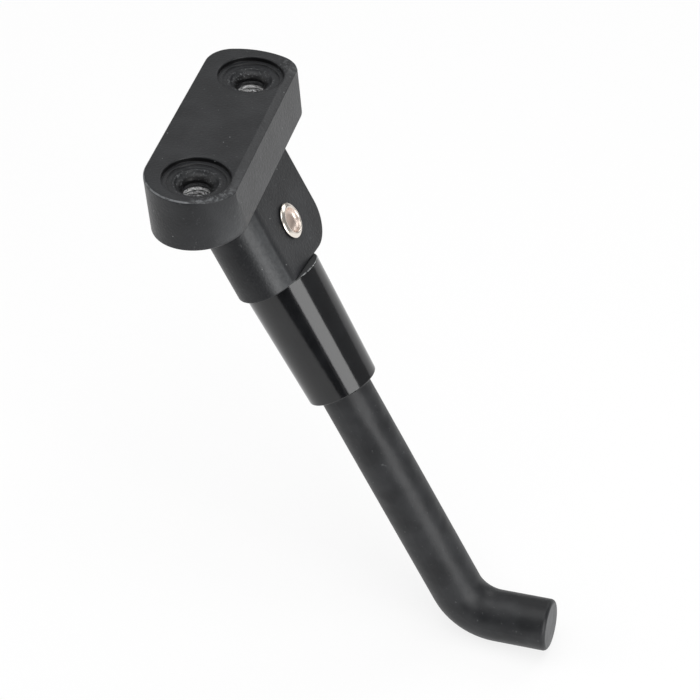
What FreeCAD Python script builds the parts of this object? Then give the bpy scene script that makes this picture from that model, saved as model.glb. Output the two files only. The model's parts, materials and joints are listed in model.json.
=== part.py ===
"""Kickstand for an electric scooter: a cast bracket, a riveted folding leg and a sprung lock sleeve.

Millimetres. The origin is on the bracket's mounting face, midway between its two screw holes.
+Z points up into the deck, +X runs along the plate and +Y is the side that the leg leans to.
The housing, the leg and the sleeve are drawn in the leg's own frame, which sits at the pivot:
x points forward, y along the rivet and z up the leg. They are then placed in the part's frame.
"""
import FreeCAD, Part
import math
import os

from FreeCAD import Vector

# Mounting plate
hole_spacing = 39.3
plate_front = 28.7
plate_rear = 29.7
plate_width = 20.4
plate_thickness = 12.2
plate_shift_y = -0.9
rear_end_radius = 18.0
rear_corner_radius = 6.5
wall_lean_deg = 6.0
outer_draft_deg = 3.0
bevel_line_y = 7.15
bevel_slope = 0.36
bevel_corner_radius = 9.65
plate_edge_radius = 0.5

# Screw seats in the mounting face
seat_diameter = 14.2
seat_depth = 1.2
seat_lip = 0.2
seat_ring_width = 0.9
seat_step = 0.25
countersink_diameter = 9.2
screw_hole_diameter = 6.2
screw_hole_depth = 10.5

# Pivot and the way the leg points when it is down
pivot_x = -6.3
pivot_y = 6.7
pivot_z = -30.65
leg_splay_deg = 32.7
leg_rake_deg = 8.3
leg_offset = 3.0

# Pivot housing
housing_drop = 9.8
housing_back = 13.6
housing_front = 13.2
knuckle_radius = 8.0
cheek_out = 7.0
cheek_in = 7.0
housing_edge_radius = 0.4
nose_round_radius = 2.4

# Tang of the leg and the slot it turns in
tang_thickness = 6.0
eye_radius = 6.2
slot_clearance = 0.15
ceiling_clearance = 0.8
stop_gap = 0.3
shoulder_clearance = 1.1

# Leg rod
rod_diameter = 12.0
leg_drop = 103.0
bend_radius = 11.0
foot_length = 19.4
foot_turn_deg = 5.0
foot_rise_deg = 6.0
foot_edge_radius = 1.0

# Pivot rivet
rivet_diameter = 6.5
rivet_bore_diameter = 4.0
rivet_bore_depth = 3.6
rolled_rim_diameter = 8.4
rolled_rim_height = 0.65
rolled_rim_undercut = 0.5
rolled_edge_height = 0.25
rolled_lip_depth = 0.2
rivet_head_diameter = 10.4
rivet_head_height = 1.9
rivet_fit = 0.02
pivot_clearance = 0.05

# Lock sleeve
sleeve_gap = 0.15
sleeve_length = 29.3
spring_space = 1.6
sleeve_foot_wall = 0.65
sleeve_taper = 1.7
sleeve_flange = 2.0
sleeve_edge_radius = 0.3
guide_clearance = 0.1

# Spring and its seat
spring_wire_diameter = 1.2
spring_turns = 9
spring_rod_clearance = 0.25
spring_end_gap = 0.05
seat_inset = 5.9
washer_thickness = 1.0
washer_bore_clearance = 0.3
washer_rod_clearance = 0.05
ring_thickness = 1.0
ring_bore_clearance = 0.6
ring_opening = 5.0
groove_depth = 0.5
groove_clearance = 0.05

# Reach of the cutting blocks past the part
beyond = plate_front + plate_rear + plate_width

# Places along the leg, counted down from the pivot
knuckle_reach = knuckle_radius + math.hypot(housing_back - knuckle_radius, housing_drop - knuckle_radius)
shoulder_drop = knuckle_reach + shoulder_clearance
sleeve_top = housing_drop + sleeve_gap
sleeve_foot = sleeve_top + sleeve_length
washer_top = sleeve_foot - seat_inset
groove_top = washer_top + washer_thickness

# Radii of the sleeve, which leave room for the spring round the rod
sleeve_bore_radius = rod_diameter / 2 + spring_space
sleeve_foot_radius = sleeve_bore_radius + sleeve_foot_wall
sleeve_top_radius = sleeve_foot_radius + sleeve_taper / 2

# Directions of the leg's frame in the part's frame
splay = math.radians(leg_splay_deg)
rake = math.radians(leg_rake_deg)
pivot = Vector(pivot_x, pivot_y, pivot_z)
forward = Vector(math.cos(rake), -math.sin(rake) * math.sin(splay), math.sin(rake) * math.cos(splay))
outward = Vector(0, math.cos(splay), math.sin(splay))
up_leg = Vector(-math.sin(rake), -math.cos(rake) * math.sin(splay), math.cos(rake) * math.cos(splay))


def in_leg_frame(shape):
    """Move a shape drawn in the leg's frame to its place on the part."""
    matrix = FreeCAD.Matrix(
        forward.x, outward.x, up_leg.x, pivot.x,
        forward.y, outward.y, up_leg.y, pivot.y,
        forward.z, outward.z, up_leg.z, pivot.z,
        0, 0, 0, 1)
    placed = shape.copy()
    placed.Placement = FreeCAD.Placement(matrix).multiply(shape.Placement)
    return placed


def line(start, end):
    return Part.LineSegment(start, end).toShape()


def arc(start, middle, end):
    return Part.Arc(start, middle, end).toShape()


def extruded(edges, direction):
    return Part.Face(Part.Wire(edges)).extrude(direction)


def ring(outer, inner, top, height, axis_x=0.0):
    """A plain tube about the leg's axis, from top down by height."""
    base = Vector(axis_x, 0, top - height)
    tube = Part.makeCylinder(outer, height, base)
    return tube.cut(Part.makeCylinder(inner, height, base))


# Bracket


def plate_outline(z):
    """Long plate with a full round front end and a flatter rear end with round corners."""
    half_width = plate_width / 2
    front_x = plate_front - half_width
    end_x = rear_end_radius - plate_rear
    corner_y = half_width - rear_corner_radius
    corner_x = end_x - math.sqrt((rear_end_radius - rear_corner_radius) ** 2 - corner_y ** 2)
    turn = math.atan2(corner_y, end_x - corner_x)
    middle = (turn + math.pi / 2) / 2

    def rear(angle):
        return Vector(end_x - rear_end_radius * math.cos(angle), rear_end_radius * math.sin(angle), z)

    def corner(angle, side):
        x = corner_x - rear_corner_radius * math.cos(angle)
        return Vector(x, side * (corner_y + rear_corner_radius * math.sin(angle)), z)

    front_left = Vector(front_x, -half_width, z)
    front_right = Vector(front_x, half_width, z)
    return [
        arc(front_left, Vector(plate_front, 0, z), front_right),
        line(front_right, corner(math.pi / 2, 1)),
        arc(corner(math.pi / 2, 1), corner(middle, 1), rear(turn)),
        arc(rear(turn), rear(0), rear(-turn)),
        arc(rear(-turn), corner(middle, -1), corner(math.pi / 2, -1)),
        line(corner(math.pi / 2, -1), front_left),
    ]


def leaning(shape):
    """Lean a shape drawn upright so that its walls run outwards as they go down."""
    placed = shape.copy()
    placed.rotate(Vector(0, 0, 0), Vector(1, 0, 0), wall_lean_deg)
    placed.translate(Vector(0, plate_shift_y, 0))
    return placed


def block(low, high):
    size = high - low
    return Part.makeBox(size.x, size.y, size.z, low)


def plate():
    raised = plate_width / 2 * math.tan(math.radians(wall_lean_deg)) + 1.0
    blank = extruded(plate_outline(-plate_thickness), Vector(0, 0, plate_thickness + raised))
    body = leaning(blank).cut(block(Vector(-beyond, -beyond, 0), Vector(beyond, beyond, beyond)))
    rim = [edge for edge in body.Edges if is_plate_rim(edge)]
    body = body.makeFillet(plate_edge_radius, rim)
    return body.cut(outer_draft()).cut(bevel())


def is_plate_rim(edge):
    """True for the edges round the mounting face and round the underside."""
    lean = math.radians(wall_lean_deg)
    depths = []
    for vertex in edge.Vertexes:
        point = vertex.Point - Vector(0, plate_shift_y, 0)
        depths.append(point.z * math.cos(lean) - point.y * math.sin(lean))
    level = all(abs(vertex.Point.z) < 1e-4 for vertex in edge.Vertexes)
    return level or all(abs(depth + plate_thickness) < 1e-4 for depth in depths)


def outer_draft():
    """Wedge that leans the outer wall in a little more than the other walls, from its foot up."""
    foot = Vector(0, plate_width / 2, -plate_thickness)
    wedge = block(Vector(-beyond, 0, -beyond), Vector(beyond, beyond, beyond))
    wedge.rotate(Vector(0, 0, 0), Vector(1, 0, 0), outer_draft_deg)
    wedge.translate(foot)
    return leaning(wedge)


def bevel():
    """Shallow slope along the outer side that turns round the front corner and runs out at the tip."""
    centre = Vector(plate_front - bevel_corner_radius, bevel_line_y - bevel_corner_radius, 0)
    reach = plate_width
    profile = [
        (bevel_corner_radius, 0), (bevel_corner_radius + reach, -reach * bevel_slope),
        (bevel_corner_radius + reach, 1), (bevel_corner_radius, 1), (bevel_corner_radius, 0),
    ]
    points = [centre + Vector(0, r, z) for r, z in profile]
    face = Part.Face(Part.makePolygon(points))
    straight = face.extrude(Vector(-beyond, 0, 0))
    return straight.fuse(face.revolve(centre, Vector(0, 0, 1), -90))


def housing():
    """Round-nosed housing: its plan runs up the leg, and its side has the knuckle for the sleeve."""
    nose_radius = (cheek_out + cheek_in) / 2
    nose_y = (cheek_out - cheek_in) / 2
    nose_x = leg_offset + housing_front - nose_radius
    bottom = -housing_drop
    back = -housing_back
    tip = Vector(nose_x + nose_radius, nose_y, bottom)
    plan = [
        line(Vector(back, -cheek_in, bottom), Vector(nose_x, -cheek_in, bottom)),
        arc(Vector(nose_x, -cheek_in, bottom), tip, Vector(nose_x, cheek_out, bottom)),
        line(Vector(nose_x, cheek_out, bottom), Vector(back, cheek_out, bottom)),
        line(Vector(back, cheek_out, bottom), Vector(back, -cheek_in, bottom)),
    ]
    body = extruded(plan, Vector(0, 0, beyond))
    knuckle_x = back + knuckle_radius
    knuckle_z = bottom + knuckle_radius
    half_turn = knuckle_radius * math.cos(math.pi / 4)
    start_y = -cheek_in - 1
    corner = [
        line(Vector(knuckle_x, start_y, bottom), Vector(back, start_y, bottom)),
        line(Vector(back, start_y, bottom), Vector(back, start_y, knuckle_z)),
        arc(Vector(back, start_y, knuckle_z), Vector(knuckle_x - half_turn, start_y, knuckle_z - half_turn),
            Vector(knuckle_x, start_y, bottom)),
    ]
    body = body.cut(extruded(corner, Vector(0, cheek_in + cheek_out + 2, 0)))
    rim = [edge for edge in body.Edges if is_housing_rim(edge)]
    return body.makeFillet(housing_edge_radius, rim).cut(nose_rounding(nose_x, nose_y, nose_radius))


def nose_rounding(nose_x, nose_y, nose_radius):
    """Rounds off the lower inner edge, full along the inner cheek and running out round the nose."""
    shift = nose_round_radius / 2
    reach = nose_radius + shift
    low = reach - nose_round_radius
    bottom = -housing_drop
    quarter = nose_round_radius * math.cos(math.pi / 4)

    def at(radius, z):
        return Vector(nose_x, nose_y + shift - radius, bottom + z)

    outline = [
        arc(at(low, 0), at(low + quarter, nose_round_radius - quarter), at(reach, nose_round_radius)),
        line(at(reach, nose_round_radius), at(2 * reach, nose_round_radius)),
        line(at(2 * reach, nose_round_radius), at(2 * reach, -1)),
        line(at(2 * reach, -1), at(low, -1)),
        line(at(low, -1), at(low, 0)),
    ]
    face = Part.Face(Part.Wire(outline))
    straight = face.extrude(Vector(-beyond, 0, 0))
    return straight.fuse(face.revolve(at(0, 0), Vector(0, 0, 1), 180))


def is_housing_rim(edge):
    """True for the edges round the underside and the back, except those across the knuckle."""
    box = edge.BoundBox
    at_top = box.ZMax > beyond - housing_drop - 1e-3 and box.ZMin > 0
    upright_at_nose = box.ZLength > 1 and box.XMin > 0
    across = box.YLength > cheek_in + cheek_out - 1e-3 and box.XMin < leg_offset
    return not (at_top or upright_at_nose or across)


def slot():
    """Space for the tang, open at the back and below, with the stop wall in front."""
    half = tang_thickness / 2 + slot_clearance
    front = leg_offset + rod_diameter / 2 + stop_gap
    low = Vector(-beyond, -half, -beyond)
    return block(low, Vector(front, half, eye_radius + ceiling_clearance))


def screw_seat(x):
    """Stepped counterbore with a broken edge, a countersink and the screw hole."""
    seat_radius = seat_diameter / 2
    hole_radius = screw_hole_diameter / 2
    sink_radius = countersink_diameter / 2
    step_radius = seat_radius - seat_ring_width
    floor = seat_depth + seat_step
    sink_end = floor + sink_radius - hole_radius
    profile = [
        (0, 0), (seat_radius + seat_lip, 0), (seat_radius, -seat_lip), (seat_radius, -seat_depth),
        (step_radius, -seat_depth), (step_radius, -floor), (sink_radius, -floor),
        (hole_radius, -sink_end), (hole_radius, -screw_hole_depth), (0, -screw_hole_depth), (0, 0),
    ]
    points = [Vector(x + r, 0, z) for r, z in profile]
    face = Part.Face(Part.makePolygon(points))
    return face.revolve(Vector(x, 0, 0), Vector(0, 0, 1), 360)


def mount_bracket():
    arm = in_leg_frame(housing())
    arm = arm.cut(block(Vector(-beyond, -beyond, -plate_thickness / 2), Vector(beyond, beyond, beyond)))
    wall_y = -plate_width / 2
    inner_wall = block(Vector(-beyond, wall_y - beyond, -beyond), Vector(beyond, wall_y, beyond))
    arm = arm.cut(leaning(inner_wall))
    body = plate().fuse(arm)
    hole_radius = rivet_diameter / 2 + rivet_fit
    rivet_hole = Part.makeCylinder(hole_radius, 2 * beyond, Vector(0, -beyond, 0), Vector(0, 1, 0))
    tools = [in_leg_frame(slot()), in_leg_frame(rivet_hole)]
    for side in (1, -1):
        tools.append(screw_seat(side * hole_spacing / 2))
    return body.cut(tools).removeSplitter()


# Leg


def foot_direction():
    """The foot points outwards, turned a little forward and up; here in the leg's frame."""
    turn = math.radians(foot_turn_deg)
    rise = math.radians(foot_rise_deg)
    level = Vector(math.sin(turn), math.cos(turn), 0) * math.cos(rise)
    foot = level + Vector(0, 0, math.sin(rise))
    return Vector(foot.dot(forward), foot.dot(outward), foot.dot(up_leg))


def rod_path():
    """Straight leg, one bend and the foot."""
    down = Vector(0, 0, -1)
    foot = foot_direction()
    bend = down.getAngle(foot)
    tangent = bend_radius * math.tan(bend / 2)
    vertex = Vector(leg_offset, 0, -leg_drop)
    bend_start = vertex - down * tangent
    bend_end = vertex + foot * tangent
    inwards = (foot - down).normalize()
    bend_middle = vertex + inwards * (bend_radius / math.cos(bend / 2) - bend_radius)
    top = Vector(leg_offset, 0, -shoulder_drop)
    end = vertex + foot * foot_length
    return [line(top, bend_start), arc(bend_start, bend_middle, bend_end), line(bend_end, end)], end, foot


def rod():
    path, end, foot = rod_path()
    radius = rod_diameter / 2
    section = Part.Wire(Part.makeCircle(radius, Vector(leg_offset, 0, -shoulder_drop), Vector(0, 0, -1)))
    swept = Part.Wire(path).makePipeShell([section], True, True)
    closed = [edge for edge in swept.Edges if edge.isClosed()]
    rim = [edge for edge in closed if edge.CenterOfMass.distanceToPoint(end) < 1e-3]
    return swept.makeFillet(foot_edge_radius, rim)


def tang():
    """Flat end of the leg: a milled shank that widens into the pivot eye."""
    half = tang_thickness / 2
    radius = rod_diameter / 2
    front = leg_offset + radius
    back = leg_offset - radius
    waist = -(housing_drop - ceiling_clearance)
    shank = Part.makeCylinder(radius, shoulder_drop, Vector(leg_offset, 0, -shoulder_drop))
    slab = block(Vector(-beyond, -half, -shoulder_drop), Vector(beyond, half, 0))
    shank = shank.common(slab)
    diagonal = eye_radius * math.cos(math.pi / 4)
    shoulder_x = front - eye_radius

    def at(x, z):
        return Vector(x, -half, z)

    outline = [
        line(at(back, waist), at(-eye_radius, 0)),
        arc(at(-eye_radius, 0), at(-diagonal, diagonal), at(0, eye_radius)),
        line(at(0, eye_radius), at(shoulder_x, eye_radius)),
        arc(at(shoulder_x, eye_radius), at(shoulder_x + diagonal, diagonal), at(front, 0)),
        line(at(front, 0), at(front, waist)),
        line(at(front, waist), at(back, waist)),
    ]
    eye = extruded(outline, Vector(0, tang_thickness, 0))
    hole_radius = rivet_diameter / 2 + pivot_clearance
    hole = Part.makeCylinder(hole_radius, 2 * beyond, Vector(0, -beyond, 0), Vector(0, 1, 0))
    return eye.fuse(shank).cut(hole)


def leg_rod():
    groove_height = ring_thickness + groove_clearance
    groove = ring(rod_diameter, rod_diameter / 2 - groove_depth, -groove_top, groove_height, leg_offset)
    body = rod().cut(groove).fuse(tang())
    return in_leg_frame(body.removeSplitter())


# Rivet


def pivot_rivet():
    """Half-hollow rivet: a domed head inside, a round rolled rim outside."""
    shank = rivet_diameter / 2
    rim = rolled_rim_diameter / 2
    bore = rivet_bore_diameter / 2
    head = rivet_head_diameter / 2
    rim_top = cheek_out + rolled_rim_height
    rim_edge = cheek_out + rolled_edge_height
    lip = cheek_out - rolled_lip_depth
    bore_bottom = rim_top - rivet_bore_depth
    head_top = -cheek_in
    head_base = head_top - rivet_head_height
    dome_edge = head_top - rivet_head_height / 3

    def at(radius, y):
        return Vector(radius, y, 0)

    crest = at((bore + rim) / 2, rim_top)
    dome_chord = math.hypot(head, dome_edge - head_base)
    dome_radius = dome_chord ** 2 / (2 * (dome_edge - head_base))
    dome_middle_angle = math.asin(head / dome_radius) / 2
    dome_middle = at(dome_radius * math.sin(dome_middle_angle),
                     head_base + dome_radius * (1 - math.cos(dome_middle_angle)))
    edges = [
        line(at(0, bore_bottom), at(bore, bore_bottom)),
        line(at(bore, bore_bottom), at(bore, lip)),
        arc(at(bore, lip), crest, at(rim, rim_edge)),
        line(at(rim, rim_edge), at(rim - rolled_rim_undercut, cheek_out)),
        line(at(rim - rolled_rim_undercut, cheek_out), at(shank, cheek_out)),
        line(at(shank, cheek_out), at(shank, head_top)),
        line(at(shank, head_top), at(head, head_top)),
        line(at(head, head_top), at(head, dome_edge)),
        arc(at(head, dome_edge), dome_middle, at(0, head_base)),
        line(at(0, head_base), at(0, bore_bottom)),
    ]
    body = Part.Face(Part.Wire(edges)).revolve(Vector(0, 0, 0), Vector(0, 1, 0), 360)
    return in_leg_frame(body)


# Sleeve and spring


def spring_sleeve():
    """Tapered cup that slides on the leg; its flat top is pressed against the housing."""
    foot = Vector(leg_offset, 0, -sleeve_foot)
    outer = Part.makeCone(sleeve_foot_radius, sleeve_top_radius, sleeve_length, foot)
    rims = [edge for edge in outer.Edges if edge.isClosed()]
    outer = outer.makeFillet(sleeve_edge_radius, rims)
    bore_length = sleeve_length - sleeve_flange
    bore = Part.makeCylinder(sleeve_bore_radius, bore_length, foot)
    guide_radius = rod_diameter / 2 + guide_clearance
    guide = Part.makeCylinder(guide_radius, sleeve_length, foot)
    return in_leg_frame(outer.cut([bore, guide]))


def sleeve_spring():
    wire_radius = spring_wire_diameter / 2
    mean_radius = rod_diameter / 2 + spring_rod_clearance + wire_radius
    coil_top = sleeve_top + sleeve_flange + spring_end_gap + wire_radius
    coil_foot = washer_top - spring_end_gap - wire_radius
    height = coil_foot - coil_top
    helix = Part.makeHelix(height / spring_turns, height, mean_radius)
    section = Part.Wire(Part.makeCircle(wire_radius, Vector(mean_radius, 0, 0), Vector(0, 1, 0)))
    coil = Part.Wire(helix.Edges).makePipeShell([section], True, True)
    coil.translate(Vector(leg_offset, 0, -coil_foot))
    return in_leg_frame(coil)


def spring_seat_washer():
    outer = sleeve_bore_radius - washer_bore_clearance
    inner = rod_diameter / 2 + washer_rod_clearance
    return in_leg_frame(ring(outer, inner, -washer_top, washer_thickness, leg_offset))


def retaining_ring():
    """Open snap ring in the leg's groove."""
    inner = rod_diameter / 2 - groove_depth + groove_clearance
    outer = sleeve_bore_radius - ring_bore_clearance
    body = ring(outer, inner, -groove_top, ring_thickness, leg_offset)
    half = ring_opening / 2
    gap = block(Vector(leg_offset - beyond, -half, -beyond), Vector(leg_offset, half, 0))
    return in_leg_frame(body.cut(gap))


def main():
    os.makedirs("parts", exist_ok=True)
    pieces = {
        "mount_bracket": mount_bracket,
        "pivot_rivet": pivot_rivet,
        "leg_rod": leg_rod,
        "spring_sleeve": spring_sleeve,
        "sleeve_spring": sleeve_spring,
        "spring_seat_washer": spring_seat_washer,
        "retaining_ring": retaining_ring,
    }
    for name, make in pieces.items():
        shape = make()
        shape.exportStep(f"parts/{name}.step")
        print(name, "solids", len(shape.Solids), "valid", shape.isValid(), "volume", round(shape.Volume, 1))


main()
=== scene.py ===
"""Finishes, screw threads, rivet, spring, stage and camera for an electric scooter kickstand.

Everything is in metres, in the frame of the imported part: the origin is on the bracket's mounting face,
midway between its two screw holes, with +Z up into the deck and +Y to the side that the leg leans to.
"""
import json
import math

import bmesh
import bpy
from bpy.props import FloatProperty, FloatVectorProperty, IntProperty, PointerProperty
from mathutils import Matrix, Vector


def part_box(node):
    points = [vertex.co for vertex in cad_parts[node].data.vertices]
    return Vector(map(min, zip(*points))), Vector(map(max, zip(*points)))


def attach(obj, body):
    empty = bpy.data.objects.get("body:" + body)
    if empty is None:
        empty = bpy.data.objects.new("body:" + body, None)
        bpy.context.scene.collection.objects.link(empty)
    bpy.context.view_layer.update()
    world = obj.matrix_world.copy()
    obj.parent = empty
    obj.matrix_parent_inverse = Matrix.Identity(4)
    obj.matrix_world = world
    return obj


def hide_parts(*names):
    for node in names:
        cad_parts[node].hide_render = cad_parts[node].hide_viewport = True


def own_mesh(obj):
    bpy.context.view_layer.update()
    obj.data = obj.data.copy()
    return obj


bl_info = {
    "name": "Scooter Kickstand",
    "version": (1, 0, 0),
    "blender": (4, 5, 0),
    "location": "View3D > Sidebar > Kickstand",
    "description": "Finishes, screw threads, rivet, spring, stage and camera for a folding scooter stand",
    "category": "Object",
}

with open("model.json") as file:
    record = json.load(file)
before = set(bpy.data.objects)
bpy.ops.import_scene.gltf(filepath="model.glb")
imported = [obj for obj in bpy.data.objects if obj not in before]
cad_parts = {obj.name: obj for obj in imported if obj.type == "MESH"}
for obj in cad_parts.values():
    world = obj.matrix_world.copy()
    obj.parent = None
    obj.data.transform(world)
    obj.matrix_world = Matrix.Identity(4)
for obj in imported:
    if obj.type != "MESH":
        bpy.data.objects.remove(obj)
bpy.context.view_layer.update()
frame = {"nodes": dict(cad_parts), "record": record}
MM = 0.001
SCREWS = next(mount for mount in frame["record"]["mounts"] if mount["name"] == "deck_screws")
HOLE_RADIUS = SCREWS["dims"]["hole_r_mm"] * MM
HOLE_SPACING = SCREWS["dims"]["spacing_x_mm"] * MM
FLANK_ANGLE = math.radians(30)
FLOOR_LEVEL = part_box("leg_rod")[0].z
HINGE = next(joint for joint in frame["record"]["behaviour"]["joints"] if joint["name"] == "leg_fold")
HINGE_PLACE = tuple(HINGE["pos_m"])
HINGE_AXIS = tuple(HINGE["axis"])
SLIDE = next(joint for joint in frame["record"]["behaviour"]["joints"] if joint["name"] == "sleeve_slide")
LEG_AXIS = tuple(-part for part in SLIDE["axis"])
LAMP_AIM = (0, 0.03, -0.05)
# Lamps: name, place from the point that they face, width, height, and power in watts
LAMPS = (
    ("overhead", (0.1, -0.05, 1.0), 1.0, 1.0, 6.6),
    ("back_left", (-0.95, -0.4, 0.75), 0.6, 0.5, 0.6),
    ("back_right", (-0.95, 0.42, 0.75), 0.8, 0.6, 2.6),
    ("right_strip", (0.57, 0.79, 0.22), 0.64, 0.9, 8.2),
    ("left_fill", (0.15, -0.95, 0.35), 0.7, 0.9, 2.5),
)


def linear(code):
    """Linear colour of an sRGB hex value."""
    values = [int(code[i:i + 2], 16) / 255 for i in (1, 3, 5)]
    return [v / 12.92 if v <= 0.04045 else ((v + 0.055) / 1.055) ** 2.4 for v in values]


def colour(name, description, code):
    return FloatVectorProperty(
        name=name, description=description, default=linear(code), size=3, subtype="COLOR", min=0.0, max=1.0)


def length(name, description, default):
    return FloatProperty(
        name=name, description=description, default=default, min=0.0, unit="LENGTH", precision=5)


class KickstandColours(bpy.types.PropertyGroup):
    """Colours of the finishes and of the stage."""

    coat: colour("Powder coat", "Black of the cast bracket", "#1e1f21")
    coat_light: colour("Powder coat, light", "Paler clouds in the bracket's coat", "#28292b")
    # Also drawn as painted highlight and sheen on the bracket's front rim, front corner and nose, and as
    # painted light on the leg's foot end
    scuff_and_painted_light: colour("Scuffs", "Grey of the rubbed powder coat", "#6c6e70")
    bar: colour("Bar enamel", "Satin black of the leg", "#1c1d1f")
    # Also drawn as painted shade on the screw seats' walls
    sleeve: colour("Sleeve enamel", "Gloss black of the lock sleeve", "#0d0d0e")
    nickel: colour("Nickel", "Bright plate of the rivet", "#eee6dc")
    # Painted reflection: a pinkish-brown tint laid in the rivet's dish
    rivet_dish: colour("Rivet dish", "Tea-brown tint inside the rivet", "#d6c7bd")
    cut_metal: colour("Cut alloy", "Bare metal of the cut threads and worn edges", "#ececec")
    spring: colour("Spring steel", "Oiled steel of the spring and its seat", "#57585a")
    # Also drawn as painted highlight along the sleeve's top edge
    dust_and_highlight: colour("Dust", "Pale specks on the black coats", "#9a9c9d")
    floor: colour("Floor", "Studio floor", "#fafafa")


class KickstandSizes(bpy.types.PropertyGroup):
    """Sizes of the added pieces and of the coat's details."""

    thread_pitch: length("Thread pitch", "Rise of the screw thread in one turn", 1.0 * MM)
    thread_height: length("Thread height", "How far the thread stands in from the hole's wall", 0.5 * MM)
    thread_start: length("Thread start", "Depth of the first turn below the mounting face", 3.9 * MM)
    thread_end: length("Thread end", "Depth of the last turn below the mounting face", 9.6 * MM)
    thread_steps: IntProperty(
        name="Thread steps", description="Sections in one turn of thread", default=36, min=8)
    rivet_wall: length("Rivet wall", "From the leg's middle plane to the housing's outer wall", 7.0 * MM)
    rivet_rim: length("Rivet rim", "Radius of the rivet's rolled rim", 4.2 * MM)
    rivet_proud: length("Rivet height", "How far the rolled rim stands off the wall", 1.0 * MM)
    rivet_dish: length("Rivet dish", "Radius of the dish inside the rolled rim", 2.7 * MM)
    rivet_shank: length("Rivet shank", "Radius of the rivet's shank", 3.25 * MM)
    rivet_head: length("Rivet head", "Radius of the domed head on the inner side", 5.2 * MM)
    rivet_dome: length("Rivet dome", "Height of the domed head", 1.9 * MM)
    rivet_steps: IntProperty(
        name="Rivet steps", description="Sides of the cage that is rounded to the rivet", default=24, min=8)
    spring_wire: length("Spring wire", "Radius of the spring's wire", 0.6 * MM)
    spring_turns: IntProperty(name="Spring turns", description="Turns of the spring", default=9, min=1)
    spring_steps: IntProperty(
        name="Spring steps", description="Sections in one turn of the spring", default=32, min=8)
    wire_steps: IntProperty(name="Wire steps", description="Sides of the spring's wire", default=12, min=6)
    seat_radius: length("Seat radius", "Round seat about each screw hole", 7.1 * MM)
    ring_pitch: length("Turning pitch", "Spacing of the turned rings in the seats", 1.1 * MM)
    pebble: length("Pebble size", "Grain of the bracket's powder coat", 0.6 * MM)
    coat_edge: length("Coat edge", "Radius at which the coat rounds the casting's edges", 0.35 * MM)
    wall_edge: length("Wall edge", "The same where the round end meets the outer wall", 3.0 * MM)


class KickstandStage(bpy.types.PropertyGroup):
    """Camera and lamps."""

    view_from: FloatVectorProperty(
        name="Camera place", description="Where the camera stands", default=(0.3778, 0.1165, 0.2680),
        size=3, subtype="TRANSLATION", unit="LENGTH")
    lens: FloatProperty(
        name="Lens", description="Focal length of the camera, in millimetres", default=117.55, min=10.0)
    lamp_level: FloatProperty(name="Lamp level", description="Factor on all lamps", default=1.0, min=0.0)


# Nodes


def fill(tree, node, inputs):
    """Give a node's inputs values, or links from sockets or from nodes' first outputs."""
    for key, value in inputs.items():
        if isinstance(value, bpy.types.Node):
            value = value.outputs[0]
        if isinstance(value, bpy.types.NodeSocket):
            tree.links.new(value, node.inputs[key])
        else:
            node.inputs[key].default_value = value


def add(tree, kind, inputs=None, **settings):
    """Add a node with its settings and inputs."""
    node = tree.nodes.new(kind)
    for name, value in settings.items():
        setattr(node, name, value)
    fill(tree, node, inputs or {})
    return node


def opaque(rgb, level=1.0):
    """Node colour from a property, brought down to a level."""
    return (*(level * value for value in rgb), 1.0)


def new_material(name):
    """An empty material with one shader and its output, and the coordinates that it reads."""
    material = bpy.data.materials.new(name)
    material.use_nodes = True
    tree = material.node_tree
    tree.nodes.clear()
    shader = add(tree, "ShaderNodeBsdfPrincipled")
    add(tree, "ShaderNodeOutputMaterial", {"Surface": shader})
    place = add(tree, "ShaderNodeTexCoord").outputs
    return material, tree, shader, place


def mask(tree, *limits):
    """Product of soft steps: each limit is a value, where its step starts and where it is full."""
    share = 1.0
    for value, start, full in limits:
        step = add(tree, "ShaderNodeMapRange", {"Value": value, "From Min": start, "From Max": full},
                   interpolation_type="SMOOTHSTEP")
        share = add(tree, "ShaderNodeMath", {0: share, 1: step}, operation="MULTIPLY")
    return share


def layered(tree, base, *coats):
    """Colours laid one over another, each by its own share."""
    for share, shade in coats:
        base = add(tree, "ShaderNodeMix", {"Factor": share, 6: base, 7: shade}, data_type="RGBA").outputs[2]
    return base


def dust_specks(tree, place, spacing, share, size):
    """Round specks in a share of the cells of that spacing, coarser than real dust so that they show."""
    chance_edge = 0.02
    core = 0.4
    cells = add(tree, "ShaderNodeTexVoronoi", {"Vector": place["Object"], "Scale": 1 / spacing})
    chance = add(tree, "ShaderNodeSeparateColor", {"Color": cells.outputs["Color"]})
    return mask(tree, (chance, 1 - share, 1 - share + chance_edge),
                (cells.outputs["Distance"], size / spacing, core * size / spacing))


# Finishes


def hole_distance(tree, point):
    """Distance from the axis of the nearer screw hole."""
    side = add(tree, "ShaderNodeMath", {0: point["X"]}, operation="ABSOLUTE")
    from_axis = add(tree, "ShaderNodeMath", {0: side, 1: HOLE_SPACING / 2}, operation="SUBTRACT")
    plan = add(tree, "ShaderNodeCombineXYZ", {"X": from_axis, "Y": point["Y"]})
    return add(tree, "ShaderNodeVectorMath", {0: plan}, operation="LENGTH").outputs["Value"]


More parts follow.
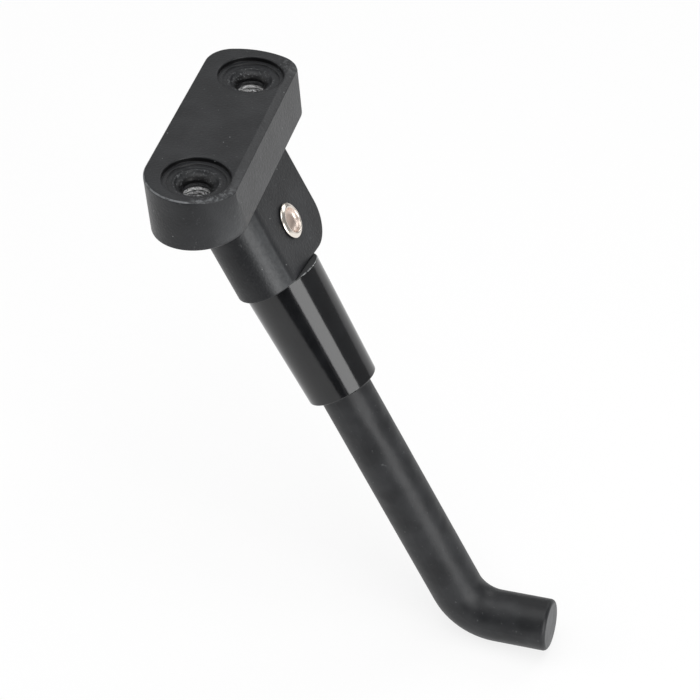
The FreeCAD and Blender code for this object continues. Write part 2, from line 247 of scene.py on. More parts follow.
def seat_marks(tree, sizes, place, point, facing, scuffs):
    """Shares of the marks in the screw seats: painted shade on the walls, lips, glints on the cones, bare
    holes and rings.
    """
    # Each pair says where a mark starts and where it is full: radii about the hole, levels counted from
    # the mounting face, how the surface faces, and values of the noise
    grain_size = 0.45 * MM
    soft_edge = 0.2 * MM
    hole_radii = (HOLE_RADIUS + 0.4 * MM, HOLE_RADIUS + 0.1 * MM)
    lip_radii = (4.0 * MM, 3.4 * MM)
    cone_radii = (5.4 * MM, 4.9 * MM)
    below_lip = (-3.8 * MM, -4.5 * MM)
    above_bottom = (-sizes.thread_end, 0.8 * MM - sizes.thread_end)
    down_the_cone = (-1.45 * MM, -2.4 * MM)
    inside_plate = (-11.0 * MM, -10.6 * MM)
    cone_top = (-1.2 * MM, -1.5 * MM)
    cone_foot = (-3.2 * MM, -2.6 * MM)
    wall_top = (-0.2 * MM, -0.4 * MM)
    wall_foot = (-2.6 * MM, -2.0 * MM)
    floor_top = (-0.4 * MM, -0.9 * MM)
    floor_foot = (-3.4 * MM, -2.8 * MM)
    steep = (0.6, 0.3)
    mostly = (0.36, 0.5)
    sparsely = (0.56, 0.74)

    radius = hole_distance(tree, point)
    grains = add(tree, "ShaderNodeTexNoise", {
        "Vector": place["Object"], "Scale": 1 / grain_size, "Detail": 2.0})
    # Painted shade: the seat's steep wall is drawn near black
    wall = mask(tree, (radius, sizes.seat_radius + soft_edge, sizes.seat_radius), (facing["Z"], *steep),
                (point["Z"], *wall_top), (point["Z"], *wall_foot))
    lip = mask(tree, (radius, *lip_radii), (point["Z"], *down_the_cone), (point["Z"], *inside_plate))
    glints = mask(tree, (radius, *cone_radii), (point["Z"], *cone_top), (point["Z"], *cone_foot),
                  (grains, *sparsely))
    bare = mask(tree, (radius, *hole_radii), (point["Z"], *below_lip), (point["Z"], *above_bottom),
                (scuffs, *mostly))
    in_seat = mask(tree, (radius, sizes.seat_radius, sizes.seat_radius - soft_edge),
                   (point["Z"], *floor_top), (point["Z"], *floor_foot))
    turns = add(tree, "ShaderNodeMath", {0: radius, 1: math.tau / sizes.ring_pitch}, operation="MULTIPLY")
    waves = add(tree, "ShaderNodeMath", {0: turns}, operation="SINE")
    rings = add(tree, "ShaderNodeMath", {0: waves, 1: in_seat}, operation="MULTIPLY")
    return wall, lip, glints, bare, rings


def knock_marks(tree, place, point, facing, scuffs):
    """Shares of the wear on the casting: its front rim, its two outer corners, the nose and all over; the
    front rim and the front corner also carry painted highlight, and the nose painted sheen.
    """
    # Each pair says where a mark starts and where it is full: radii about the hole, places along X, Y and
    # Z, how the surface faces, and values of the noise
    past_seat = (7.6 * MM, 8.2 * MM)
    beside_seat = (7.2 * MM, 7.6 * MM)
    along_front = (8 * MM, 24 * MM)
    front = (20 * MM, 23 * MM)
    front_side = (0.5 * MM, 3 * MM)
    rear = (-22 * MM, -25 * MM)
    rear_side = (3 * MM, 6 * MM)
    top_edge = (-0.9 * MM, -0.5 * MM)
    upper_wall = (-4 * MM, -1.5 * MM)
    down_the_nose = (2 * MM, -16 * MM)
    leaning = (0.25, 0.5)
    not_level = (0.97, 0.85)
    upward = (0.5, 0.8)
    nose_side = (0.4, 0.75)
    not_wall = (0.99, 0.95)
    forward = (0.1, 0.3)
    softly = (-0.4, 0.9)
    mostly = (0.3, 0.55)
    partly = (0.44, 0.66)
    patchily = (0.46, 0.62)
    rarely = (0.62, 0.75)

    radius = hole_distance(tree, point)
    outward = add(tree, "ShaderNodeVectorMath", {
        0: place["Normal"], 1: HINGE_AXIS}, operation="DOT_PRODUCT").outputs["Value"]
    # Partly rubbed coat, partly painted highlight along the front rim's edge
    rim_wear_and_highlight = mask(tree, (facing["Z"], *leaning), (facing["Z"], *not_level), (point["Z"], *top_edge),
                    (point["X"], *along_front), (radius, *past_seat), (scuffs, *mostly))
    # Partly scuffed, partly painted highlight on the front corner
    front_corner_wear_and_highlight = mask(tree, (facing["Z"], *upward), (radius, *beside_seat), (point["Y"], *front_side),
                        (point["X"], *front), (scuffs, *partly))
    rear_corner = mask(tree, (point["X"], *rear), (point["Y"], *rear_side), (point["Z"], *upper_wall),
                       (scuffs, *patchily))
    # Partly scuffs, partly painted sheen: a soft pale band on the nose's outer flank
    nose_wear_and_sheen = mask(tree, (outward, *nose_side), (outward, *not_wall), (facing["X"], *forward),
                 (point["Z"], *down_the_nose), (scuffs, *softly))
    all_over = mask(tree, (scuffs, *rarely))
    return rim_wear_and_highlight, front_corner_wear_and_highlight, rear_corner, nose_wear_and_sheen, all_over


def flowed_edges(tree, sizes, point, facing):
    """Normals of a coat that flows round the edges, most where the round end meets the outer wall."""
    by_round_end = (12 * MM, 15 * MM)
    wall_top = (-3 * MM, -4.5 * MM)
    wall_foot = (-13 * MM, -11.5 * MM)
    sideways = (0.5, 0.6)
    not_upward = (0.5, 0.4)
    on_wall = mask(tree, (facing["Y"], *sideways), (facing["Z"], *not_upward), (point["X"], *by_round_end),
                   (point["Z"], *wall_top), (point["Z"], *wall_foot))
    edge = add(tree, "ShaderNodeMapRange", {
        "Value": on_wall, "To Min": sizes.coat_edge, "To Max": sizes.wall_edge})
    return add(tree, "ShaderNodeBevel", {"Radius": edge}, samples=8)


def powder_coat(colours, sizes):
    """Black polyester powder baked on an alloy casting."""
    # Matte, with pebbles drawn coarse enough to show, paler clouds, turned rings and black lips in the
    # screw seats, painted shade on the seats' walls, a thin front-rim line that is partly rubbed and partly
    # painted highlight, and grey scuffs where it is knocked, with painted highlight on the front corner and
    # painted sheen on the nose
    cloud_size = 9 * MM
    scuff_size = 0.9 * MM
    pebble_height = 0.14 * MM
    ring_height = 0.06 * MM
    speck_spacing = 2.2 * MM
    speck_size = 0.16 * MM
    speck_share = 0.22
    cloudy = (0.35, 0.7)
    material, tree, shader, place = new_material("powder_coat_black")
    point = add(tree, "ShaderNodeSeparateXYZ", {"Vector": place["Object"]}).outputs
    facing = add(tree, "ShaderNodeSeparateXYZ", {"Vector": place["Normal"]}).outputs
    clouds = add(tree, "ShaderNodeTexNoise", {"Vector": place["Object"], "Scale": 1 / cloud_size})
    pebbles = add(tree, "ShaderNodeTexNoise", {
        "Vector": place["Object"], "Scale": 1 / sizes.pebble, "Detail": 3.0})
    scuffs = add(tree, "ShaderNodeTexNoise", {
        "Vector": place["Object"], "Scale": 1 / scuff_size, "Detail": 4.0, "Roughness": 0.65})
    wall, lip, glints, bare, rings = seat_marks(tree, sizes, place, point, facing, scuffs)
    rim_wear_and_highlight, front_corner_wear_and_highlight, rear_corner, nose_wear_and_sheen, all_over = knock_marks(tree, place, point, facing, scuffs)
    specks = dust_specks(tree, place, speck_spacing, speck_share, speck_size)

    # Painted highlight in the rim line and the front corner, and painted sheen in the nose's scuffs
    shades = layered(
        tree, opaque(colours.coat), (mask(tree, (clouds, *cloudy)), opaque(colours.coat_light)),
        (all_over, opaque(colours.scuff_and_painted_light, 0.4)), (nose_wear_and_sheen, opaque(colours.scuff_and_painted_light, 0.45)),
        # Painted shade: the seats' walls
        (wall, opaque(colours.sleeve)), (lip, opaque(colours.sleeve)),
        (glints, opaque(colours.scuff_and_painted_light, 0.7)), (rim_wear_and_highlight, opaque(colours.scuff_and_painted_light)),
        (front_corner_wear_and_highlight, opaque(colours.scuff_and_painted_light, 0.7)), (rear_corner, opaque(colours.scuff_and_painted_light, 0.4)),
        (specks, opaque(colours.dust_and_highlight, 0.8)), (bare, opaque(colours.cut_metal)))
    rough = add(tree, "ShaderNodeMapRange", {"Value": pebbles, "To Min": 0.31, "To Max": 0.47})
    edges = flowed_edges(tree, sizes, point, facing)
    grit = add(tree, "ShaderNodeBump", {
        "Height": pebbles, "Distance": pebble_height, "Strength": 0.5, "Normal": edges})
    ringed = add(tree, "ShaderNodeBump", {
        "Height": rings, "Distance": ring_height, "Strength": 0.6, "Normal": grit})
    fill(tree, shader, {
        "Base Color": shades, "Metallic": bare, "Roughness": rough, "Specular IOR Level": 0.32,
        "Normal": ringed})
    return material


def bar_enamel(colours):
    """Satin black enamel baked on drawn steel bar."""
    # A soft sheen with an uneven edge, from the bar's low waves, faint clouds and a little dust; the foot's
    # end face is painted lighter grey in patches, as painted light
    cloud_size = 8 * MM
    wave_size = 5 * MM
    wave_height = 0.6 * MM
    peel_size = 0.9 * MM
    peel_height = 0.1 * MM
    speck_spacing = 3.6 * MM
    speck_size = 0.18 * MM
    speck_share = 0.12
    foot_end = (72 * MM, 75 * MM)
    end_on = (0.9, 0.97)
    cloudy = (0.4, 0.65)
    mostly = (0.2, 0.5)
    rarely = (0.66, 0.76)
    material, tree, shader, place = new_material("bar_enamel_satin")
    point = add(tree, "ShaderNodeSeparateXYZ", {"Vector": place["Object"]}).outputs
    facing = add(tree, "ShaderNodeSeparateXYZ", {"Vector": place["Normal"]}).outputs
    clouds = add(tree, "ShaderNodeTexNoise", {
        "Vector": place["Object"], "Scale": 1 / cloud_size, "Detail": 3.0})
    peel = add(tree, "ShaderNodeTexNoise", {
        "Vector": place["Object"], "Scale": 1 / peel_size, "Detail": 3.0})
    waves = add(tree, "ShaderNodeTexNoise", {
        "Vector": place["Object"], "Scale": 1 / wave_size, "Detail": 1.0})
    specks = dust_specks(tree, place, speck_spacing, speck_share, speck_size)
    # Painted light: the foot's end face is lightened where a lamp falls on it
    rub_and_painted_light = mask(tree, (facing["Y"], *end_on), (point["Y"], *foot_end), (peel, *mostly))
    shades = layered(
        tree, opaque(colours.bar), (mask(tree, (clouds, *cloudy)), opaque(colours.coat_light)),
        (mask(tree, (peel, *rarely)), opaque(colours.scuff_and_painted_light, 0.4)), (rub_and_painted_light, opaque(colours.scuff_and_painted_light, 0.4)),
        (specks, opaque(colours.dust_and_highlight)))
    rough = add(tree, "ShaderNodeMapRange", {"Value": clouds, "To Min": 0.4, "To Max": 0.5})
    uneven = add(tree, "ShaderNodeBump", {"Height": waves, "Distance": wave_height, "Strength": 0.5})
    skin = add(tree, "ShaderNodeBump", {
        "Height": peel, "Distance": peel_height, "Strength": 0.3, "Normal": uneven})
    fill(tree, shader, {
        "Base Color": shades, "Roughness": rough, "Specular IOR Level": 0.36, "Normal": skin})
    return material


def sleeve_enamel(colours):
    """Gloss black enamel on a drawn steel cup."""
    # Nearly a mirror, so it shows the lamp as a clean band, with a slight orange peel; the top that rides
    # on the housing is rubbed dull, and its edge is pale in places, partly worn and partly painted
    # highlight
    cloud_size = 5 * MM
    peel_size = 2.2 * MM
    peel_height = 0.1 * MM
    wear_size = 0.7 * MM
    speck_spacing = 4.0 * MM
    speck_size = 0.15 * MM
    speck_share = 0.1
    on_top = (0.6, 0.9)
    leaning = (0.25, 0.45)
    not_top = (0.98, 0.85)
    partly = (0.4, 0.6)
    material, tree, shader, place = new_material("sleeve_enamel_gloss")
    clouds = add(tree, "ShaderNodeTexNoise", {
        "Vector": place["Object"], "Scale": 1 / cloud_size, "Detail": 3.0})
    peel = add(tree, "ShaderNodeTexNoise", {
        "Vector": place["Object"], "Scale": 1 / peel_size, "Detail": 1.0})
    wear = add(tree, "ShaderNodeTexNoise", {
        "Vector": place["Object"], "Scale": 1 / wear_size, "Detail": 3.0})
    upward = add(tree, "ShaderNodeVectorMath", {
        0: place["Normal"], 1: LEG_AXIS}, operation="DOT_PRODUCT").outputs["Value"]
    rub_and_painted_light = mask(tree, (upward, *on_top))
    # Partly worn, partly painted highlight along the top's rounded edge
    edge_wear_and_highlight = mask(tree, (upward, *leaning), (upward, *not_top), (wear, *partly))
    specks = dust_specks(tree, place, speck_spacing, speck_share, speck_size)
    shades = layered(
        tree, opaque(colours.sleeve), (clouds, opaque(colours.bar)), (rub_and_painted_light, opaque(colours.scuff_and_painted_light, 0.35)),
        (edge_wear_and_highlight, opaque(colours.dust_and_highlight)), (specks, opaque(colours.dust_and_highlight)))
    gloss = add(tree, "ShaderNodeMapRange", {"Value": clouds, "To Min": 0.08, "To Max": 0.16})
    rough = add(tree, "ShaderNodeMath", {0: gloss, 1: rub_and_painted_light}, operation="MAXIMUM")
    skin = add(tree, "ShaderNodeBump", {"Height": peel, "Distance": peel_height, "Strength": 0.1})
    fill(tree, shader, {"Base Color": shades, "Roughness": rough, "Normal": skin})
    return material


def nickel_plate(colours, sizes):
    """Bright nickel on a rolled steel rivet."""
    # A warm near-mirror: pale on the rolled rim, hazy in the dish, with a tea-brown tint there that is a
    # painted reflection
    haze_size = 1.2 * MM
    streak_size = 0.7 * MM
    streak_height = 0.06 * MM
    dish_edge = 0.3 * MM
    outer_side = (0.0, 1 * MM)
    hazy = (0.5, 0.7)
    material, tree, shader, place = new_material("nickel_plate_bright")
    apart = add(tree, "ShaderNodeVectorMath", {0: place["Object"], 1: HINGE_PLACE}, operation="SUBTRACT")
    depth = add(tree, "ShaderNodeVectorMath", {
        0: apart, 1: HINGE_AXIS}, operation="DOT_PRODUCT").outputs["Value"]
    along = add(tree, "ShaderNodeVectorMath", {0: HINGE_AXIS, "Scale": depth}, operation="SCALE")
    across = add(tree, "ShaderNodeVectorMath", {0: apart, 1: along}, operation="SUBTRACT")
    radius = add(tree, "ShaderNodeVectorMath", {0: across}, operation="LENGTH").outputs["Value"]
    haze = add(tree, "ShaderNodeTexNoise", {
        "Vector": place["Object"], "Scale": 1 / haze_size, "Detail": 3.0})
    streaks = add(tree, "ShaderNodeTexNoise", {"Vector": across, "Scale": 1 / streak_size, "Detail": 3.0})
    # Painted reflection: the dish's tea-brown tint
    inside = mask(tree, (radius, sizes.rivet_dish + dish_edge, sizes.rivet_dish), (depth, *outer_side))
    shades = layered(
        tree, opaque(colours.nickel), (mask(tree, (haze, *hazy)), opaque(colours.nickel, 0.8)),
        (inside, opaque(colours.rivet_dish)))
    bright = add(tree, "ShaderNodeMapRange", {"Value": haze, "To Min": 0.16, "To Max": 0.28})
    rough = add(tree, "ShaderNodeMapRange", {"Value": inside, "To Min": bright, "To Max": 0.4})
    drag = add(tree, "ShaderNodeBump", {"Height": streaks, "Distance": streak_height, "Strength": 0.05})
    fill(tree, shader, {"Base Color": shades, "Metallic": 1.0, "Roughness": rough, "Normal": drag})
    return material


def cut_alloy(colours):
    """Casting alloy cut by a tap."""
    # Bare, bright and torn in places; black down to the first turn
    tear_size = 0.8 * MM
    tear_height = 0.35 * MM
    black_foot = -4.9 * MM
    black_top = -4.3 * MM
    in_tears = (0.43, 0.37)
    material, tree, shader, place = new_material("cut_alloy_bare")
    point = add(tree, "ShaderNodeSeparateXYZ", {"Vector": place["Object"]}).outputs
    torn = add(tree, "ShaderNodeTexNoise", {
        "Vector": place["Object"], "Scale": 1 / tear_size, "Detail": 4.0, "Roughness": 0.7})
    upper_turns_black = mask(tree, (point["Z"], black_foot, black_top))
    bare = mask(tree, (point["Z"], black_top, black_foot))
    shades = layered(
        tree, opaque(colours.cut_metal), (mask(tree, (torn, *in_tears)), opaque(colours.cut_metal, 0.12)),
        (upper_turns_black, opaque(colours.coat)))
    rough = add(tree, "ShaderNodeMapRange", {"Value": torn, "To Min": 0.25, "To Max": 0.5})
    skin = add(tree, "ShaderNodeBump", {"Height": torn, "Distance": tear_height, "Strength": 1.0})
    fill(tree, shader, {"Base Color": shades, "Metallic": bare, "Roughness": rough, "Normal": skin})
    return material


def oiled_steel(colours):
    """Oil-tempered spring steel."""
    # Dark grey with a soft metal shine under an uneven film
    film_size = 3 * MM
    scale_size = 0.4 * MM
    scale_height = 0.05 * MM
    material, tree, shader, place = new_material("spring_steel_oiled")
    film = add(tree, "ShaderNodeTexNoise", {
        "Vector": place["Object"], "Scale": 1 / film_size, "Detail": 3.0})
    scale = add(tree, "ShaderNodeTexNoise", {"Vector": place["Object"], "Scale": 1 / scale_size})
    shades = layered(tree, opaque(colours.spring, 0.6), (film, opaque(colours.spring)))
    rough = add(tree, "ShaderNodeMapRange", {"Value": film, "To Min": 0.25, "To Max": 0.42})
    skin = add(tree, "ShaderNodeBump", {"Height": scale, "Distance": scale_height, "Strength": 0.2})
    fill(tree, shader, {"Base Color": shades, "Metallic": 1.0, "Roughness": rough, "Normal": skin})
    return material


def floor_paper(colours):
    """White studio paper."""
    # It looks white to the camera and in the part's reflections, and still takes a soft shadow
    fibre_size = 4 * MM
    white_share = 0.8
    material, tree, shader, place = new_material("studio_paper")
    fibre = add(tree, "ShaderNodeTexNoise", {
        "Vector": place["Object"], "Scale": 1 / fibre_size, "Detail": 3.0})
    shades = layered(tree, opaque(colours.floor, 0.985), (fibre, opaque(colours.floor)))
    fill(tree, shader, {"Base Color": shades, "Roughness": 0.9, "Specular IOR Level": 0.1})
    ray = add(tree, "ShaderNodeLightPath").outputs
    seen = add(tree, "ShaderNodeMath", {
        0: ray["Is Camera Ray"], 1: ray["Is Glossy Ray"]}, operation="MAXIMUM")
    seen = add(tree, "ShaderNodeMath", {0: seen, 1: ray["Is Transmission Ray"]}, operation="MAXIMUM")
    share = add(tree, "ShaderNodeMath", {0: seen, 1: white_share}, operation="MULTIPLY")
    white = add(tree, "ShaderNodeEmission", {"Color": (1.0, 1.0, 1.0, 1.0), "Strength": 1.0})
    both = add(tree, "ShaderNodeMixShader", {0: share, 1: shader, 2: white})
    fill(tree, tree.nodes["Material Output"], {"Surface": both})
    return material


def black_card(colours):
    """Matt black card."""
    # Dark and dull, with a faint fibre
    fibre_size = 4 * MM
    material, tree, shader, place = new_material("card_black")
    fibre = add(tree, "ShaderNodeTexNoise", {"Vector": place["Object"], "Scale": 1 / fibre_size})
    shades = layered(tree, opaque(colours.sleeve), (fibre, opaque(colours.coat)))
    fill(tree, shader, {"Base Color": shades, "Roughness": 0.9})
    return material


def give(node, material):
    """Make a material the only one of a node."""
    slots = frame["nodes"][node].data.materials
    slots.clear()
    slots.append(material)


def shown(name, mesh):
    """Add a mesh to the scene as an object."""
    piece = bpy.data.objects.new(name, mesh)
    bpy.context.scene.collection.objects.link(piece)
    return piece


# Screw threads


def thread_tree(material):
    """A helical ridge about Z, copied to a line of points along X."""
    hole_count = 2
    ridge_sides = 4
    tree = bpy.data.node_groups.new("screw_threads", "GeometryNodeTree")
    face = tree.interface
    for name in ("Radius", "Height", "Pitch", "Start", "End", "Spacing"):
        face.new_socket(name, in_out="INPUT", socket_type="NodeSocketFloat")
    face.new_socket("Steps", in_out="INPUT", socket_type="NodeSocketInt")
    face.new_socket("Geometry", in_out="OUTPUT", socket_type="NodeSocketGeometry")
    given = add(tree, "NodeGroupInput").outputs

    rise = add(tree, "ShaderNodeMath", {0: given["End"], 1: given["Start"]}, operation="SUBTRACT")
    turns = add(tree, "ShaderNodeMath", {0: rise, 1: given["Pitch"]}, operation="DIVIDE")
    helix = add(tree, "GeometryNodeCurveSpiral", {
        "Resolution": given["Steps"], "Rotations": turns, "Start Radius": given["Radius"],
        "End Radius": given["Radius"], "Height": rise})
    upright = add(tree, "GeometryNodeSetCurveNormal", {"Curve": helix.outputs["Curve"]}, mode="Z_UP")
    ridge = add(tree, "GeometryNodeCurvePrimitiveCircle", {
        "Resolution": ridge_sides, "Radius": given["Height"]})
    flanks = add(tree, "GeometryNodeTransform", {
        "Geometry": ridge.outputs["Curve"], "Scale": (math.tan(FLANK_ANGLE), 1.0, 1.0)})
    swept = add(tree, "GeometryNodeCurveToMesh", {
        "Curve": upright.outputs["Curve"], "Profile Curve": flanks.outputs["Geometry"], "Fill Caps": True})
    half = add(tree, "ShaderNodeMath", {0: given["Spacing"], 1: -2.0}, operation="DIVIDE")
    low = add(tree, "ShaderNodeMath", {0: given["End"], 1: -1.0}, operation="MULTIPLY")
    first = add(tree, "ShaderNodeCombineXYZ", {"X": half, "Z": low})
    step = add(tree, "ShaderNodeCombineXYZ", {"X": given["Spacing"]})
    holes = add(tree, "GeometryNodeMeshLine", {
        "Count": hole_count, "Start Location": first.outputs[0], "Offset": step.outputs[0]})
    copies = add(tree, "GeometryNodeInstanceOnPoints", {
        "Points": holes.outputs["Mesh"], "Instance": swept.outputs["Mesh"]})
    whole = add(tree, "GeometryNodeRealizeInstances", {"Geometry": copies.outputs["Instances"]})
    crisp = add(tree, "GeometryNodeSetShadeSmooth", {
        "Geometry": whole.outputs["Geometry"], "Shade Smooth": False})
    coated = add(tree, "GeometryNodeSetMaterial", {
        "Geometry": crisp.outputs["Geometry"], "Material": material})
    add(tree, "NodeGroupOutput", {"Geometry": coated.outputs["Geometry"]})
    return tree


def from_nodes(name, tree, values):
    """Run a node tree with those inputs and keep the result as a plain mesh."""
    source = shown(name + "_source", bpy.data.meshes.new(name + "_source"))
    modifier = source.modifiers.new("shape", "NODES")
    modifier.node_group = tree
    for item in tree.interface.items_tree:
        if item.item_type == "SOCKET" and item.in_out == "INPUT":
            modifier[item.identifier] = values[item.name]
    bpy.context.view_layer.update()
    depsgraph = bpy.context.evaluated_depsgraph_get()
    mesh = bpy.data.meshes.new_from_object(source.evaluated_get(depsgraph), depsgraph=depsgraph)
    bpy.data.objects.remove(source)
    mesh.name = name
    return shown(name, mesh)


# Pivot rivet


def rivet_outline(sizes):
    """Radius and height of the cage's rings, from the dish, over the rolled rim, to the domed head."""
    wall = sizes.rivet_wall
    rim = sizes.rivet_rim
    proud = sizes.rivet_proud
    dish = sizes.rivet_dish
    head = sizes.rivet_head
    dome = sizes.rivet_dome
    dish_floor = wall - 0.3 * proud
    # The rows between are shares of the dish, of the rim and its height, and of the head
    return (
        (0.0, dish_floor),
        (0.6 * dish, dish_floor),
        (0.9 * dish, wall),
        (dish, wall + 0.6 * proud),
        (0.8 * dish + 0.2 * rim, wall + 1.05 * proud),
        (0.4 * dish + 0.6 * rim, wall + 0.8 * proud),
        (rim, wall + 0.4 * proud),
        (0.93 * rim, wall + 0.1 * proud),
        (sizes.rivet_shank, wall),
        (sizes.rivet_shank, -wall),
        (head, -wall),
        (head, -wall - dome / 3),
        (0.6 * head, -wall - 0.9 * dome),
        (0.0, -wall - dome),
    )


def turned(outline, steps):
    """Rings of an outline that is turned about the rivet's axis."""
    axis = Vector(HINGE_AXIS)
    across = axis.orthogonal().normalized()
    spokes = [Matrix.Rotation(math.tau * i / steps, 3, axis) @ across for i in range(steps)]
    rings = []
    for radius, height in outline:
        middle = Vector(HINGE_PLACE) + height * axis
        rings.append([middle + radius * spoke for spoke in spokes] if radius else [middle])
    return rings


def skinned(name, rings):
    """Join rings of points, or single points, into one smooth closed piece."""
    skin = bmesh.new()
    made = [[skin.verts.new(point) for point in ring] for ring in rings]
    for near, far in zip(made, made[1:]):
        for i in range(max(len(near), len(far))):
            j = i + 1
            corners = (near[i % len(near)], near[j % len(near)], far[j % len(far)], far[i % len(far)])
            skin.faces.new(dict.fromkeys(corners)).smooth = True
    bmesh.ops.recalc_face_normals(skin, faces=skin.faces)
    mesh = bpy.data.meshes.new(name)
    skin.to_mesh(mesh)
    skin.free()
    return shown(name, mesh)


# Spring


def spring_place():
    """The washer's middle, and from there the spring's lowest and highest level and its reach."""
    low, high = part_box("spring_seat_washer")
    seat = (low + high) / 2
    axis = Vector(LEG_AXIS)
    points = [vertex.co - seat for vertex in frame["nodes"]["sleeve_spring"].data.vertices]
    levels = [point.dot(axis) for point in points]
    reach = max(point.cross(axis).length for point in points)
    return seat, min(levels), max(levels), reach


def wound(sizes, seat, low, high, reach):
    """Rings of a round wire that winds up the leg."""
    axis = Vector(LEG_AXIS)
    across = axis.orthogonal().normalized()
    wire = sizes.spring_wire
    count = sizes.spring_turns * sizes.spring_steps
    angles = [math.tau * i / sizes.wire_steps for i in range(sizes.wire_steps)]
    rings = []
    for i in range(count + 1):
        out = Matrix.Rotation(math.tau * i / sizes.spring_steps, 3, axis) @ across
        level = low + wire + (high - low - 2 * wire) * i / count
        middle = seat + level * axis + (reach - wire) * out
        rings.append([middle + wire * (math.cos(a) * out + math.sin(a) * axis) for a in angles])
    ends = [sum(ring, Vector()) / len(ring) for ring in (rings[0], rings[-1])]
    return [[ends[0]], *rings, [ends[1]]]


# Stage


def flat(name, corners, material):
    """Add one four-sided face."""
    mesh = bpy.data.meshes.new(name)
    mesh.from_pydata(corners, [], [(0, 1, 2, 3)])
    mesh.materials.append(material)
    return shown(name, mesh)


def add_floor(scene):
    """A square of paper that the foot stands on."""
    half = 4.0
    corners = [(x, y, FLOOR_LEVEL) for x, y in ((-half, -half), (half, -half), (half, half), (-half, half))]
    floor = flat("floor", corners, floor_paper(scene.kickstand_colours))


def add_flag(scene):
    """A dark card in front, seen only in reflections: it parts the floor's sheen from the lamp's."""
    stand_off = 0.32
    sides = (-0.6, 0.21)
    levels = (FLOOR_LEVEL + 0.01, 0.06)
    corners = [(stand_off, sides[i], levels[j]) for i, j in ((0, 0), (1, 0), (1, 1), (0, 1))]
    card = flat("dark_card", corners, black_card(scene.kickstand_colours))
    card.visible_camera = False
    card.visible_diffuse = False
    card.visible_shadow = False


def add_world(scene):
    """Plain dim surroundings, which the camera sees as white."""
    dim = 0.25
    world = bpy.data.worlds.new("studio")
    scene.world = world
    world.use_nodes = True
    tree = world.node_tree
    tree.nodes.clear()
    ray = add(tree, "ShaderNodeLightPath").outputs
    level = add(tree, "ShaderNodeMapRange", {"Value": ray["Is Camera Ray"], "To Min": dim, "To Max": 1.0})
    back = add(tree, "ShaderNodeBackground", {"Color": (1.0, 1.0, 1.0, 1.0), "Strength": level})
    add(tree, "ShaderNodeOutputWorld", {"Surface": back.outputs["Background"]})


def add_softbox(name, offset, width, height, power):
    """A rectangular lamp, at that offset from the point that it faces."""
    lamp = bpy.data.lights.new(name, "AREA")
    lamp.shape = "RECTANGLE"
    lamp.size = width
    lamp.size_y = height
    lamp.energy = power
    box = bpy.data.objects.new(name, lamp)
    box.location = Vector(LAMP_AIM) + Vector(offset)
    box.rotation_euler = (-Vector(offset)).to_track_quat("-Z", "Y").to_euler()
    bpy.context.scene.collection.objects.link(box)


def add_camera(scene, stage):
    """The photograph's viewing angle: right, up and back directions of the camera."""
    right = Vector((-0.2469, 0.9687, 0.0244))
    up = Vector((-0.6151, -0.1761, 0.7686))
    lens = bpy.data.cameras.new("camera")
    lens.lens = stage.lens
    lens.sensor_width = 36.0
    lens.clip_start = 0.01
    camera = bpy.data.objects.new("camera", lens)
    right.normalize()
    back = right.cross(up).normalized()
    up = back.cross(right)
    turn = Matrix((right, up, back)).transposed()
    camera.matrix_world = Matrix.Translation(stage.view_from) @ turn.to_4x4()
    scene.collection.objects.link(camera)
    scene.camera = camera


# Operators


class KICKSTAND_OT_bracket_finish(bpy.types.Operator):
    """Give the bracket its powder coat."""

    bl_idname = "kickstand.bracket_finish"
    bl_label = "Finish the bracket"

    def execute(self, context):
        scene = context.scene
        give("mount_bracket", powder_coat(scene.kickstand_colours, scene.kickstand_sizes))
        return {"FINISHED"}


class KICKSTAND_OT_screw_threads(bpy.types.Operator):
    """Cut the threads of the two screw holes."""

    bl_idname = "kickstand.screw_threads"
    bl_label = "Add the screw threads"

    def execute(self, context):
        scene = context.scene
        sizes = scene.kickstand_sizes
        tree = thread_tree(cut_alloy(scene.kickstand_colours))
        threads = from_nodes("hole_threads", tree, {
            "Radius": HOLE_RADIUS, "Height": sizes.thread_height, "Pitch": sizes.thread_pitch,
            "Start": sizes.thread_start, "End": sizes.thread_end, "Spacing": HOLE_SPACING,
            "Steps": sizes.thread_steps})
        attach(threads, "bracket")
        return {"FINISHED"}


class KICKSTAND_OT_leg_finish(bpy.types.Operator):
    """Give the leg and the spring's seat their finishes, and wind the spring."""

    bl_idname = "kickstand.leg_finish"
    bl_label = "Finish the leg"

    def execute(self, context):
        scene = context.scene
        sizes = scene.kickstand_sizes
        give("leg_rod", bar_enamel(scene.kickstand_colours))
        steel = oiled_steel(scene.kickstand_colours)
        for node in ("spring_seat_washer", "retaining_ring"):
            give(node, steel)
        seat, low, high, reach = spring_place()
        spring = skinned("wound_spring", wound(sizes, seat, low, high, reach))
        spring.data.materials.append(steel)
        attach(spring, "leg")
        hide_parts("sleeve_spring")
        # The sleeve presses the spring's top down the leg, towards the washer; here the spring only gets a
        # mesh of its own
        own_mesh(spring)
        return {"FINISHED"}


class KICKSTAND_OT_sleeve_finish(bpy.types.Operator):
    """Give the lock sleeve its gloss enamel."""

    bl_idname = "kickstand.sleeve_finish"
    bl_label = "Finish the sleeve"

    def execute(self, context):
        give("spring_sleeve", sleeve_enamel(context.scene.kickstand_colours))
        return {"FINISHED"}


class KICKSTAND_OT_rivet(bpy.types.Operator):
    """Turn the plated pivot rivet."""

    bl_idname = "kickstand.rivet"
    bl_label = "Add the rivet"

    def execute(self, context):
        scene = context.scene
        sizes = scene.kickstand_sizes
        rivet = skinned("rolled_rivet", turned(rivet_outline(sizes), sizes.rivet_steps))
        rivet.data.materials.append(nickel_plate(scene.kickstand_colours, sizes))
        rounding = rivet.modifiers.new("rounding", "SUBSURF")
        rounding.levels = 3
        rounding.render_levels = rounding.levels
        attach(rivet, "bracket")
        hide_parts("pivot_rivet")
        return {"FINISHED"}


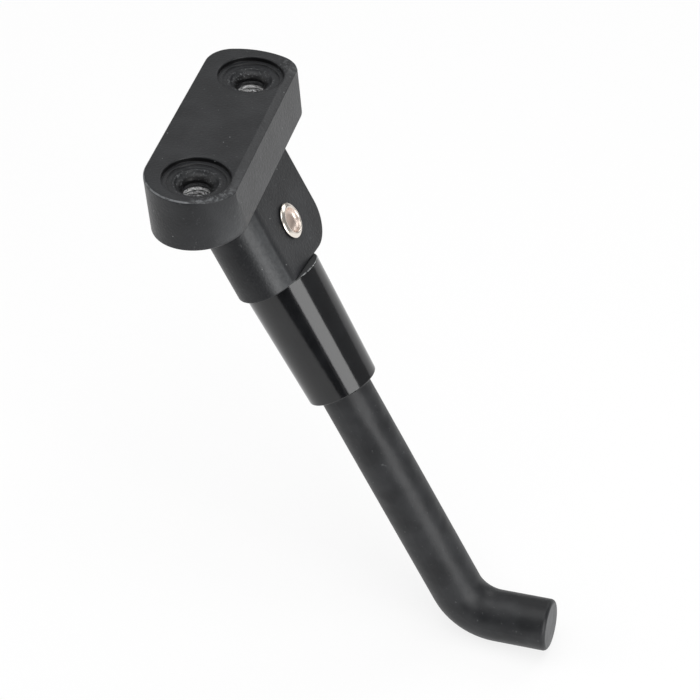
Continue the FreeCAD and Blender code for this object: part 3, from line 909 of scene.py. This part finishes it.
class KICKSTAND_OT_stage(bpy.types.Operator):
    """Set up the floor, the lamps, the world and the camera."""

    bl_idname = "kickstand.stage"
    bl_label = "Set the stage"

    def execute(self, context):
        scene = context.scene
        stage = scene.kickstand_stage
        add_floor(scene)
        add_world(scene)
        for name, offset, width, height, power in LAMPS:
            add_softbox(name, offset, width, height, power * stage.lamp_level)
        add_flag(scene)
        add_camera(scene, stage)
        scene.view_settings.view_transform = "Standard"
        return {"FINISHED"}


# Panel


class KICKSTAND_PT_panel(bpy.types.Panel):
    """Lists the steps that dress the stand."""

    bl_idname = "KICKSTAND_PT_panel"
    bl_label = "Scooter kickstand"
    bl_space_type = "VIEW_3D"
    bl_region_type = "UI"
    bl_category = "Kickstand"

    def draw(self, context):
        for operator in OPERATORS:
            self.layout.operator(operator.bl_idname)
        scene = context.scene
        for group in (scene.kickstand_colours, scene.kickstand_sizes, scene.kickstand_stage):
            box = self.layout.box()
            for name in group.__annotations__:
                box.prop(group, name)


GROUPS = (KickstandColours, KickstandSizes, KickstandStage)
OPERATORS = (
    KICKSTAND_OT_stage,
    KICKSTAND_OT_bracket_finish,
    KICKSTAND_OT_screw_threads,
    KICKSTAND_OT_rivet,
    KICKSTAND_OT_leg_finish,
    KICKSTAND_OT_sleeve_finish,
)


def register():
    for cls in (*GROUPS, *OPERATORS, KICKSTAND_PT_panel):
        bpy.utils.register_class(cls)
    bpy.types.Scene.kickstand_colours = PointerProperty(type=KickstandColours)
    bpy.types.Scene.kickstand_sizes = PointerProperty(type=KickstandSizes)
    bpy.types.Scene.kickstand_stage = PointerProperty(type=KickstandStage)


def unregister():
    del bpy.types.Scene.kickstand_stage
    del bpy.types.Scene.kickstand_sizes
    del bpy.types.Scene.kickstand_colours
    for cls in reversed((*GROUPS, *OPERATORS, KICKSTAND_PT_panel)):
        bpy.utils.unregister_class(cls)


def main():
    register()
    bpy.ops.kickstand.stage()
    bpy.ops.kickstand.bracket_finish()
    bpy.ops.kickstand.screw_threads()
    bpy.ops.kickstand.rivet()
    bpy.ops.kickstand.leg_finish()
    bpy.ops.kickstand.sleeve_finish()


if __name__ == "__main__":
    main()
